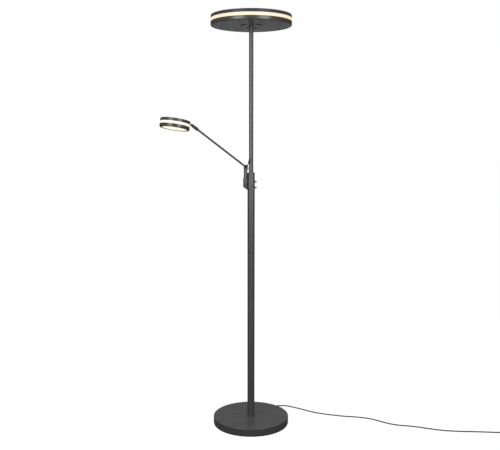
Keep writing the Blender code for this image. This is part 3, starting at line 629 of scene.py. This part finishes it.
def make_tie():
    """A plastic strap round the coil's turns, closed by a small raised head."""
    angle = math.radians(215)
    radial = Vector((math.cos(angle), math.sin(angle), 0))
    middle = CORD_FLOOR + CORD_RADIUS
    plane = frame_at(COIL_CENTRE + radial * COIL_RADIUS + UP * middle, radial.cross(UP), radial)
    half = CORD_RADIUS * 2 + 0.0004
    wall = 0.0006
    low = -CORD_RADIUS * 2 + 0.0001
    outer = [(-half - wall, low), (half + wall, low), (half + wall, half, 0.003), (-half - wall, half, 0.003)]
    inner = [(-half, low - 0.001), (half, low - 0.001), (half, half - wall, 0.0026),
             (-half, half - wall, 0.0026)]
    strap = prism("tie", outer, 0.0024, plane)
    carve(strap, prism("tie_inside", inner, 0.004, plane))
    head = block("tie_head", (-0.0022, half - 0.0002, -0.0024), (0.0022, half + 0.0012, 0.0024), plane)
    weld(strap, head)
    soften(strap, 0.0002, 2)
    return dress(strap, "cord_tie")


def make_plug():
    """A flat two-pin plug with a waisted grip, ribbed where the fingers hold it, and its own relief."""
    cord_x = COIL_CENTRE.x + COIL_RADIUS + CORD_RADIUS
    back = frame_at((cord_x, COIL_CENTRE.y, PLUG_LIFT), (0, -1, 0), UP)
    flat = frame_at((cord_x, COIL_CENTRE.y, PLUG_LIFT), UP, (0, -1, 0))
    corners = [(0.0460, -0.0052, 0.002), (0.0540, -0.0122, 0.008), (0.0720, -0.0150, 0.02),
               (0.0790, -0.0175, 0.003), (0.0828, -0.0172, 0.001), (0.0828, 0.0172, 0.001),
               (0.0790, 0.0175, 0.003), (0.0720, 0.0150, 0.02), (0.0540, 0.0122, 0.008),
               (0.0460, 0.0052, 0.002)]
    body = soften(prism("plug", corners, 0.0067, flat), 0.0022, 5, 50.0)
    ribs = []
    for side in (-1, 1):
        for number in range(5):
            x = 0.0575 + number * 0.0033
            rib = block("rib", (x, -0.0085, 0.0060 * side - 0.0007),
                        (x + 0.0014, 0.0085, 0.0060 * side + 0.0007), flat)
            ribs.append(soften(rib, 0.0003, 2))
    relief_rings = [(0.0052 - 0.0016 * step / 6, 0.0480 - step * 0.0036) for step in range(7)]
    profile = [(0, 0.0500), (0.0054, 0.0500)]
    for radius, height in relief_rings[:-1]:
        profile += [(radius, height - 0.0004, 0.0003), (radius, height - 0.0022, 0.0003),
                    (radius - 0.0011, height - 0.0025), (radius - 0.0011, height - 0.0033)]
    profile += [(0.0036, 0.0252, 0.0003), (0.0036, 0.0240, 0.0004), (CORD_RADIUS, 0.0240),
                (CORD_RADIUS, 0.0320), (0, 0.0320)]
    weld(body, lathe("relief", profile, back, SMALL_STEPS, 2), *ribs)
    pieces = [dress(body, "plug_body")]
    for number, side in enumerate((-1, 1), 1):
        place = frame_at((cord_x + side * 0.0093, COIL_CENTRE.y - 0.0833, PLUG_LIFT), (0, -1, 0), UP)
        pin = lathe("pin", [(0, 0), (0.0019, 0), (0.0019, 0.0188, 0.0011), (0, 0.0188)], place, SMALL_STEPS)
        pieces.append(dress(pin, f"plug_pin_{number}"))
    return pieces


# Base

# How far the pad reaches past its CAD radius, so that its black edge stands in for the contact shadow at the
# cover's foot: painted shade.
PAD_SHADOW_SPREAD = 0.0034


def make_base():
    """The painted cover and the grooved pad. The pad is spread wider than its CAD part, so that its black edge
    shows as a dark line at the cover's foot: the real pad's edge and a painted contact shadow in one.
    """
    bottom, top, radius = span("base_cover")
    bore = 0.0066
    wall = 0.0016
    cover = lathe("cover", [
        (bore, top), (radius, top, 0.0021), (radius, bottom, 0.0005), (radius - wall, bottom, 0.0005),
        (radius - wall, top - wall, 0.0012), (bore, top - wall)], steps=WIDE_STEPS, arc_steps=8)
    carve(cover, rod("gland_hole", 0.0050, around(0.1500, CORD_HEIGHT), around(0.1800, CORD_HEIGHT)))
    dress(cover, "base_cover")
    _, high, reach = span("base_pad")
    # The pad is widened here for the painted contact shadow line.
    reach += PAD_SHADOW_SPREAD
    groove = 0.0012
    profile = [(0, high), (reach - 0.0004, high, 0.0004), (reach, 0.0010, 0.0006),
               (reach - 0.0012, 0, 0.0006)]
    for edge in (0.1520, 0.1440, 0.1360, 0.1280):
        profile += [(edge, 0, 0.0006), (edge - 0.0010, groove, 0.0003), (edge - 0.0030, groove, 0.0003),
                    (edge - 0.0040, 0, 0.0006)]
    profile += [(0.0220, 0, 0.0005), (0.0210, 0.0010, 0.0003), (0, 0.0010)]
    dress(lathe("pad", profile, steps=WIDE_STEPS, arc_steps=3), "base_pad")


def make_gland():
    """The gland in the cover's edge, with a relief whose rings let it bend."""
    base_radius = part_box("base_cover")[1].x
    bore = CORD_RADIUS + GAP
    tip = 0.0036
    profile = [(bore, RELIEF_LENGTH), (tip, RELIEF_LENGTH, 0.0004)]
    rings = 9
    pitch = 0.0033
    widening = 0.0019
    for ring in range(rings):
        start = RELIEF_LENGTH - 0.0010 - ring * pitch
        reach = tip + widening * ring / (rings - 1)
        profile += [(reach, start - 0.0012, 0.0002), (reach - 0.0005, start - 0.0015),
                    (reach - 0.0005, start - 0.0021), (reach + 0.0002, start - 0.0024, 0.0002)]
    profile += [(0.0056, 0.0036, 0.0002), (0.0072, 0.0030, 0.0005), (0.0072, 0.0008, 0.0003),
                (0.0048, 0.0008), (0.0048, -0.0024), (0.0068, -0.0024, 0.0003), (0.0068, -0.0046, 0.0005),
                (bore, -0.0046)]
    place = frame_at(around(base_radius - GAP, CORD_HEIGHT), around(1.0, 0.0), UP)
    dress(lathe("gland", profile, place, SMALL_STEPS, 3), "cord_gland")


# Pole

def make_pole():
    """The lower tube with its knob holes, the shouldered collar and the upper tube."""
    bottom, top, radius = span("lower_pole")
    wall = 0.0015
    pole = lathe("lower", [
        (radius, top, 0.0003), (radius, bottom, 0.0003), (radius - wall, bottom), (radius - wall, top)],
        steps=STEPS, arc_steps=2)
    levels = [JOINTS[name]["pos_m"][2] for name in ("dimmer_upper_turn", "dimmer_lower_turn")]
    holes = [rod("hole", 0.0036, (0.005, 0, level), (0.020, 0, level)) for level in levels]
    dress(carve(pole, *holes), "lower_pole")
    low, high, reach = span("pole_reducer")
    bore = span("upper_pole")[2] + GAP
    inner = radius - wall - GAP
    seam = top + GAP
    dress(lathe("reducer", [
        (bore, high, 0.0002), (reach, high, 0.0024), (reach, seam, 0.0002), (inner, seam), (inner, low),
        (bore, low)], steps=STEPS, arc_steps=8), "pole_reducer")
    low, high, reach = span("upper_pole")
    dress(lathe("upper", [
        (reach, high, 0.0002), (reach, low, 0.0002), (reach - SHEET, low), (reach - SHEET, high)],
        steps=STEPS, arc_steps=2), "upper_pole")


# Uplighter head

SHELL_RISE = 0.0010


def make_uplighter():
    """The dish, its flange, the lit band, the ring that leans in over it, and the lit panel in the top."""
    bottom, shell_top, radius = span("head_lower_shell")
    shell_top += SHELL_RISE
    bore = STEM_RADIUS + GAP
    dress(lathe("shell", [
        (radius - SHEET, shell_top, 0.0003), (radius, shell_top, 0.0004), (radius, bottom, 0.0046),
        (0.0600, bottom), (bore, bottom), (bore, bottom + SHEET), (radius - SHEET, bottom + SHEET, 0.0036)],
        steps=WIDE_STEPS, arc_steps=8), "head_lower_shell")
    low, high, reach = span("head_flange")
    dress(lathe("flange", [
        (bore, high), (reach, high, 0.0002), (reach, low, 0.0010), (0.0125, low), (0.0112, low + 0.0004),
        (bore, low + 0.0004)], steps=STEPS, arc_steps=6), "head_flange")
    _, high, reach = span("head_side_diffuser")
    low = shell_top + GAP
    wall = 0.0023
    dress(lathe("band", [
        (reach - wall, high), (reach, high, 0.0004), (reach, low, 0.0004), (reach - wall, low)],
        steps=WIDE_STEPS, arc_steps=3), "head_side_diffuser", HEAD_BAND)
    low, high, reach = span("head_top_ring")
    lip = 0.1580
    lean = 0.0013
    wall = 0.0018
    dress(lathe("ring", [
        (lip, high, 0.0005), (reach - lean, high, 0.0005), (reach, low, 0.0004), (reach - wall, low, 0.0003),
        (reach - wall - lean, high - wall, 0.0004), (lip, high - wall, 0.0004)],
        steps=WIDE_STEPS, arc_steps=5), "head_top_ring")
    low, high, reach = span("head_top_diffuser")
    dress(lathe("top_panel", [
        (0, high), (lip - 0.004, high), (reach, high, 0.0003), (reach, low, 0.0003), (0, low)],
        steps=WIDE_STEPS, arc_steps=2), "head_top_diffuser", HEAD_PANEL)


# Dimmer knobs

def make_knobs():
    """Tapered knobs with a plain collar and fine flutes down the cone."""
    flute_start = span("lower_pole")[2] + 0.0016
    flute_length = 0.0060
    flute_depth = 0.00022
    flute_count = 24
    inside = 0.0024

    def flutes(radius, height, angle):
        if not flute_start < height < flute_start + flute_length or radius < inside:
            return radius
        depth = flute_depth * math.sin(math.pi * (height - flute_start) / flute_length)
        return radius - depth * (0.5 + 0.5 * math.cos(flute_count * angle))

    for name in ("upper", "lower"):
        joint = JOINTS[f"dimmer_{name}_turn"]
        place = frame_at((0, 0, joint["pos_m"][2]), joint["axis"], UP)
        low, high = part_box(f"dimmer_{name}_knob")
        collar = (high.z - low.z) / 2
        slope = [(collar - 0.0004 - 0.0030 * step / 8, flute_start + 0.0058 * step / 8) for step in range(9)]
        profile = [(0, high.x), (0.0026, high.x, 0.0006), *slope[::-1],
                   (collar, flute_start - 0.0004, 0.0003), (collar, low.x, 0.0003), (0.0042, low.x),
                   (0.0042, 0.0182), (0.0021, 0.0182), (0.0021, 0.0228), (0, 0.0228)]
        dress(lathe("knob", profile, place, RIPPLE_STEPS, 3, flutes), f"dimmer_{name}_knob")


# Socket, post and knuckle

SOCKET_RADIUS = 0.0106
SOCKET_SCREWS = (1.0700, 1.1000)
POST_AXIS = Matrix.Translation((POST_X, 0, 0))
JOURNAL = 0.0073
CABLE_WAY = 0.0021


def make_socket():
    """The bracket that the post turns in, cut off at a slope, with a rib up the gap behind the post."""
    top = SOCKET_TOP
    web_bottom = 1.0782
    web_top = 1.0812
    socket = lathe("socket", [
        (JOURNAL, top, 0.0002), (SOCKET_RADIUS, top, 0.0010), (SOCKET_RADIUS, 1.0500), (0.0070, 1.0500),
        (0.0070, web_bottom), (0.0030, web_bottom), (0.0030, web_top), (JOURNAL, web_top)],
        POST_AXIS, POST_STEPS, 4)
    slope = frame_at((POST_X - SOCKET_RADIUS, 0, 1.0688), (0.565, 0, 0.825))
    _, top_of_pole, pole_radius = span("lower_pole")
    post_radius = span("swivel_post")[2]
    cutters = [block("below", (-0.02, -0.02, -0.04), (0.05, 0.02, 0.0), slope),
               rod("saddle", pole_radius + GAP, (0, 0, 1.03), (0, 0, 1.13), STEPS)]
    cutters += [rod("seat", 0.0018, (-0.030, 0, height), (-0.010, 0, height)) for height in SOCKET_SCREWS]
    weld(socket, block("rib", (-0.0205, 0.0030, top - 0.0060), (-0.0140, 0.0080, top_of_pole - 0.0020)))
    cutters += [rod("rib_relief", post_radius + GAP, (POST_X, 0, top), (POST_X, 0, top_of_pole), STEPS),
                rod("rib_bore", JOURNAL, (POST_X, 0, top - 0.0100), (POST_X, 0, top + 0.0010), POST_STEPS)]
    carve(socket, *cutters)
    soften(socket, 0.0007, 3, 40.0)
    dress(socket, "arm_socket")


def make_swivel():
    """The post, the forked knuckle on its top and the knuckle's bolt."""
    low, high, radius = span("swivel_post")
    seam = SOCKET_TOP + GAP
    post = lathe("post", [
        (0.0050, high), (radius, high, 0.0003), (radius, seam, 0.0006), (0.0055, seam), (0.0055, low, 0.0004),
        (0.0024, low), (0.0024, low + 0.0145), (0.0050, low + 0.0165)], POST_AXIS, POST_STEPS, 4)
    cable_way = (Vector((POST_X - 0.0010, 0, CABLE_ENTRY.z)), CABLE_ENTRY)
    carve(post, rod("way", CABLE_WAY, *cable_way))
    dress(post, "swivel_post")
    low, top, radius = span("knuckle_fork")
    seat = high + GAP
    floor = KNUCKLE.z - EYE_RADIUS - 0.0006
    fork = lathe("fork", [
        (0, top), (radius, top, 0.0014), (radius, seat, 0.0004), (0.0047, seat), (0.0047, low, 0.0004),
        (0, low)], POST_AXIS, POST_STEPS, 5)
    cutters = [block("slot", (-0.02, -0.0033, floor), (0.02, 0.0033, floor + 0.03), POST_AXIS),
               rod("bolt_way", 0.0023, KNUCKLE - Vector((0, 0.01, 0)), KNUCKLE + Vector((0, 0.01, 0))),
               rod("way", CABLE_WAY, *cable_way)]
    cutters += [rod("seat", 0.0048, KNUCKLE + Vector((0, side * 0.0055, 0)),
                    KNUCKLE + Vector((0, side * 0.0120, 0))) for side in (-1, 1)]
    carve(fork, *cutters)
    soften(fork, 0.0004, 2, 40.0)
    dress(fork, "knuckle_fork")
    face = 0.0078
    bolt = lathe("bolt", [
        (0, face), (0.0038, face, 0.0010), (0.0038, 0.0058, 0.0002), (0.0020, 0.0058),
        (0.0020, -0.0084, 0.0003), (0, -0.0084)], frame_at(KNUCKLE, (0, -1, 0)), SMALL_STEPS)
    key = 0.0019
    hexagon = [(key * math.cos(k * math.pi / 3), key * math.sin(k * math.pi / 3)) for k in range(6)]
    recess = frame_at(KNUCKLE + Vector((0, -face, 0)), (0, -1, 0))
    carve(bolt, prism("hex", hexagon, 0.0012, recess))
    dress(soften(bolt, 0.0001, 1, 50.0), "knuckle_bolt")


def make_arm_cable():
    """The rubber boot on the upper pole and the short cable into the post."""
    along = (BOOT_TIP - BOOT_ROOT).normalized()
    length = (BOOT_TIP - BOOT_ROOT).length
    profile = [(0, length), (0.0028, length, 0.0006), (0.0033, 0.0120, 0.0004), (0.0029, 0.0116),
               (0.0029, 0.0108), (0.0035, 0.0104, 0.0003), (0.0040, 0.0040, 0.0020), (0.0036, 0.0), (0, 0.0)]
    boot = lathe("boot", profile, frame_at(BOOT_ROOT, along), SMALL_STEPS)
    pole_radius = span("upper_pole")[2]
    carve(boot, rod("saddle", pole_radius + 0.0001, (0, 0, 1.15), (0, 0, 1.22), STEPS),
          rod("bore", 0.0018, BOOT_ROOT + along * 0.0060, BOOT_TIP + along * 0.0050))
    dress(boot, "cable_boot")
    route = [
        BOOT_ROOT + along * 0.0100, BOOT_TIP, BOOT_TIP + along * 0.0060, (-0.0142, -0.0090, 1.1570),
        (-0.0130, -0.0052, 1.1490), (-0.0142, -0.0012, 1.1448), (-0.0175, 0.0, 1.1445),
        (-0.0195, 0.0, 1.1445)]
    guide = tube("cable_guide", smooth_route(route, 0.0008), CABLE_RADIUS, 5)
    mesh = evaluated_mesh(guide)
    data = guide.data
    bpy.data.objects.remove(guide)
    bpy.data.curves.remove(data)
    cable = new_object("arm_cable_visual", mesh)
    shade(mesh)
    mesh.materials.clear()
    mesh.materials.append(FINISHES["cable_jacket"])
    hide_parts("arm_cable")
    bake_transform(cable)


# Arm

def make_arm():
    """The eye that turns in the knuckle, with the spigot the arm's tube is pressed on, and the tube."""
    half = 0.0030
    eye = lathe("eye", [
        (0.0023, half), (EYE_RADIUS, half, 0.0006), (EYE_RADIUS, -half, 0.0006), (0.0023, -half)],
        frame_at(KNUCKLE, (0, -1, 0)), POST_STEPS)
    neck = rod("neck", 0.0029, KNUCKLE + ALONG * 0.0045, KNUCKLE + ALONG * (ARM_START - GAP))
    spigot = rod("spigot", 0.0025, KNUCKLE + ALONG * 0.0085, KNUCKLE + ALONG * 0.0250)
    dress(weld(eye, neck, spigot), "arm_eye")
    end = (HINGE - KNUCKLE).length - 0.0163
    bore = 0.0028
    along = frame_at(KNUCKLE, ALONG, (0, -1, 0))
    dress(lathe("arm", [
        (ARM_RADIUS, end, 0.0003), (ARM_RADIUS, ARM_START, 0.0007), (bore, ARM_START), (bore, end)],
        along, STEPS, 4), "arm_tube")


def make_yoke():
    """The slotted ferrule with a domed tip, its finely knurled collar and the reading head's pin."""
    place = frame_at(HINGE, ALONG, HINGE_AXIS)
    tip = 0.0062
    root = 0.0072
    end = 0.0335
    bore = ARM_RADIUS + GAP
    dome = [(tip * math.cos(a), tip * math.sin(a)) for a in (math.radians(90 - 6 * k) for k in range(16))]
    profile = [*dome, (root - 0.0002, -0.0205), (root - 0.0002, -0.0219, 0.0003), (0.0057, -0.0219),
               (0.0057, -0.0160), (0, -0.0160)]
    ferrule = lathe("ferrule", profile, place, POST_STEPS, 3)
    cutters = [block("slot", (-0.0023, -0.01, -0.0062), (0.0023, 0.01, 0.01), place),
               rod("pin_way", 0.0014, HINGE - HINGE_AXIS * 0.01, HINGE + HINGE_AXIS * 0.01),
               rod("lead_way", 0.0018, HINGE - ALONG * 0.0180, HINGE - ALONG * 0.0050)]
    carve(ferrule, *cutters)
    dress(soften(ferrule, 0.0003, 2, 40.0), "head_ferrule")

    inside = 0.0065
    knurl_depth = 0.00012
    knurl_count = 36

    def knurl(radius, height, angle):
        if radius < inside or not -0.0320 < height < -0.0235:
            return radius
        return radius - knurl_depth * (0.5 + 0.5 * math.cos(knurl_count * angle))

    rows = [(root, -0.0240 - 0.0075 * step / 5) for step in range(6)]
    collar = [(bore, -0.0202), (0.0054, -0.0202), (0.0054, -0.0222), (root, -0.0222, 0.0004), *rows,
              (root, -end, 0.0009), (bore, -end, 0.0003)]
    dress(lathe("collar", collar, place, RIPPLE_STEPS, 4, knurl), "ferrule_collar")
    pin_place = frame_at(HINGE, HINGE_AXIS, ALONG)
    half = 0.0057
    dress(lathe("pin", [(0, half), (0.0012, half, 0.0004), (0.0012, -half, 0.0004), (0, -half)], pin_place,
                SMALL_STEPS), "head_hinge_pin")


# Reading head

def make_reading_head():
    """The cap, the lit band, the lower ring, the lit panel, and the lug that hangs it all on the pin."""
    place = frame_at(READING_CENTRE, HEAD_UP)
    hinge_side = frame_at(READING_CENTRE, HEAD_UP, -OUTWARD)
    radius = READING_RADIUS
    wall = 0.0015
    dress(lathe("cap", [
        (0, READING_HALF), (radius, READING_HALF, 0.0022), (radius, SIDE_TOP + GAP, 0.0003),
        (radius - wall, SIDE_TOP + GAP, 0.0002), (radius - wall, READING_HALF - wall, 0.0010),
        (0, READING_HALF - wall)], place, WIDE_STEPS, 6), "reading_top_shell")
    outer = radius - 0.0005
    band = lathe("reading_band", [
        (outer - 0.0021, SIDE_TOP), (outer, SIDE_TOP, 0.0004), (outer, SIDE_BOTTOM + GAP, 0.0004),
        (outer - 0.0021, SIDE_BOTTOM + GAP)], place, WIDE_STEPS, 3)
    notch = block("notch", (0.058, -0.0027, SIDE_BOTTOM - 0.002), (0.072, 0.0027, SIDE_TOP + 0.002),
                  hinge_side)
    dress(carve(band, notch), "reading_side_diffuser", READING_BAND)
    lip = 0.0542
    dress(lathe("lower_ring", [
        (radius - wall, SIDE_BOTTOM, 0.0002), (radius, SIDE_BOTTOM, 0.0003), (radius, -READING_HALF, 0.0030),
        (lip, -READING_HALF, 0.0006), (lip, wall - READING_HALF, 0.0004),
        (radius - wall, wall - READING_HALF, 0.0014)], place, WIDE_STEPS, 6), "reading_lower_ring")
    rim = radius - 0.0020
    high = 0.0038 - READING_HALF
    low = 0.0018 - READING_HALF
    dress(lathe("panel", [
        (0, high), (rim, high, 0.0003), (rim, low, 0.0003), (lip - 0.002, low), (0, low)],
        place, WIDE_STEPS, 2), "reading_panel_diffuser", READING_PANEL)
    side = frame_at(READING_CENTRE, HINGE_AXIS, -OUTWARD)
    eye = 0.0042
    tip = [(READING_REACH + eye * math.cos(a), READING_RISE + eye * math.sin(a))
           for a in (math.radians(135 - 7.5 * k) for k in range(31))]
    tongue = [(0.0500, 0.0050), (0.0600, 0.0050, 0.003), (0.0668, 0.0054, 0.001), *tip,
              (0.0620, -0.0027, 0.003), (0.0500, 0.0020)]
    lug = prism("lug", tongue, 0.0020, side)
    foot = block("foot", (0.0505, -0.0065, 0.0021), (0.0610, 0.0065, 0.0050), hinge_side)
    weld(lug, foot)
    carve(lug, rod("eye", 0.0015, HINGE - HINGE_AXIS * 0.01, HINGE + HINGE_AXIS * 0.01))
    dress(soften(lug, 0.0002, 2, 40.0), "reading_lug")


# Finishes on the CAD nodes that stay

def finish_cad_nodes():
    """A finish for every CAD node. Opal nodes, which the visual pieces hide, get the reading panel's glow."""
    for name, obj in frame["nodes"].items():
        obj.data.materials.clear()
        obj.data.materials.append(FINISHES.get(NODE_SLOT[name], READING_PANEL))
        if not obj.hide_render:
            shade(obj.data, 24.0)


# Studio

def two_way(tree, seen, unseen):
    """One shader for what the camera sees directly and another for what lights the lamp."""
    path = node(tree, "ShaderNodeLightPath")
    mix = node(tree, "ShaderNodeMixShader")
    tree.links.new(path.outputs["Is Camera Ray"], mix.inputs[0])
    tree.links.new(unseen.outputs[0], mix.inputs[1])
    tree.links.new(seen.outputs[0], mix.inputs[2])
    return mix.outputs[0]


def along_axis(tree, source, axis, start, end):
    """How far along one axis of the coordinates, from 0 at the start to 1 at the end."""
    split = node(tree, "ShaderNodeSeparateXYZ")
    tree.links.new(coordinates(tree, source=source), split.inputs["Vector"])
    reach = node(tree, "ShaderNodeMapRange")
    reach.inputs["From Min"].default_value = start
    reach.inputs["From Max"].default_value = end
    tree.links.new(split.outputs[axis], reach.inputs["Value"])
    return reach.outputs["Result"]


FLOOR_RADIUS = 60.0
FLOOR_SEEN_GREY = (0.12, 0.12, 0.12, 1.0)
FLOOR_SEEN_GLOW = 0.88
WHITE = (1, 1, 1, 1)


def make_floor():
    """White where it is seen. What the lamp reflects of it is dark nearby, paler in front and far behind."""
    shape = bmesh.new()
    bmesh.ops.create_circle(shape, cap_ends=True, segments=96, radius=FLOOR_RADIUS)
    floor = from_bmesh("floor", shape)
    material = bpy.data.materials.new("pale_floor")
    material.use_nodes = True
    tree = material.node_tree
    tree.nodes.remove(tree.nodes["Principled BSDF"])
    seen = node(tree, "ShaderNodeAddShader")
    for number, shader in enumerate((
            node(tree, "ShaderNodeBsdfDiffuse", Color=FLOOR_SEEN_GREY),
            node(tree, "ShaderNodeEmission", Color=WHITE, Strength=FLOOR_SEEN_GLOW))):
        tree.links.new(shader.outputs[0], seen.inputs[number])
    unseen = node(tree, "ShaderNodeBsdfDiffuse")
    depth = along_axis(tree, "Object", "Y", -4.0, 14.0)
    bounce = ramp(tree, depth, (0.10, 0.46), (0.18, 0.08), (0.66, 0.06), (0.86, 0.40))
    tree.links.new(bounce, unseen.inputs["Color"])
    tree.links.new(two_way(tree, seen, unseen), tree.nodes["Material Output"].inputs["Surface"])
    floor.data.materials.append(material)


def make_world():
    """White where it is seen. The lamp reflects a darker room, dimmer overhead and low down behind."""
    world = bpy.data.worlds.new("studio")
    world.use_nodes = True
    tree = world.node_tree
    tree.nodes.remove(tree.nodes["Background"])
    seen = node(tree, "ShaderNodeBackground", Color=WHITE, Strength=1.0)
    unseen = node(tree, "ShaderNodeBackground", Strength=1.0)
    behind = ramp(tree, along_axis(tree, "Generated", "Y", -1.0, 1.0), (0.55, 0.0), (0.78, 1.0))
    height = along_axis(tree, "Generated", "Z", 0.0, 1.0)
    rear = ramp(tree, height, (0.12, 0.04), (0.28, 0.24), (1.0, 0.34))
    front = ramp(tree, height, (0.10, 0.32), (0.20, 0.19), (1.0, 0.19))
    level = mixed(tree, behind, front, rear)
    tree.links.new(level, unseen.inputs["Color"])
    tree.links.new(two_way(tree, seen, unseen), tree.nodes["World Output"].inputs["Surface"])
    bpy.context.scene.world = world


SOFTBOX_SPREAD = math.radians(35.0)
SOFTBOX_DISTANCE = 2.6
SOFTBOX_HEIGHT = 1.55
SOFTBOX_WIDE = 1.3
SOFTBOX_TALL = 1.7
SOFTBOX_WATTS = 44.0
LAMP_MIDDLE = Vector((0, 0, 1.0))
OVERHEAD_STRENGTH = 2.6
OVERHEAD_SPREAD = math.radians(90)
OVERHEAD_LEAN = math.radians(-8)


def softbox(name, azimuth):
    """A soft light at an azimuth from the front, facing the lamp's middle."""
    data = bpy.data.lights.new(name, "AREA")
    data.shape = "RECTANGLE"
    data.size = SOFTBOX_WIDE
    data.size_y = SOFTBOX_TALL
    data.energy = SOFTBOX_WATTS
    place = Vector((SOFTBOX_DISTANCE * math.sin(azimuth), -SOFTBOX_DISTANCE * math.cos(azimuth),
                    SOFTBOX_HEIGHT))
    light = new_object(name, data)
    light.location = place
    light.rotation_euler = (LAMP_MIDDLE - place).to_track_quat("-Z", "Y").to_euler()
    light.visible_camera = False


def make_lights():
    softbox("left_softbox", -SOFTBOX_SPREAD)
    softbox("right_softbox", SOFTBOX_SPREAD)
    data = bpy.data.lights.new("overhead", "SUN")
    data.energy = OVERHEAD_STRENGTH
    data.angle = OVERHEAD_SPREAD
    overhead = new_object("overhead", data)
    overhead.rotation_euler = (0, OVERHEAD_LEAN, 0)
    bpy.context.scene.view_settings.view_transform = "Standard"


make_camera()
make_cord()
make_base()
make_gland()
make_pole()
make_uplighter()
make_knobs()
make_socket()
make_swivel()
make_arm_cable()
make_arm()
make_yoke()
make_reading_head()
finish_cad_nodes()
make_floor()
make_world()
make_lights()
bpy.context.view_layer.update()
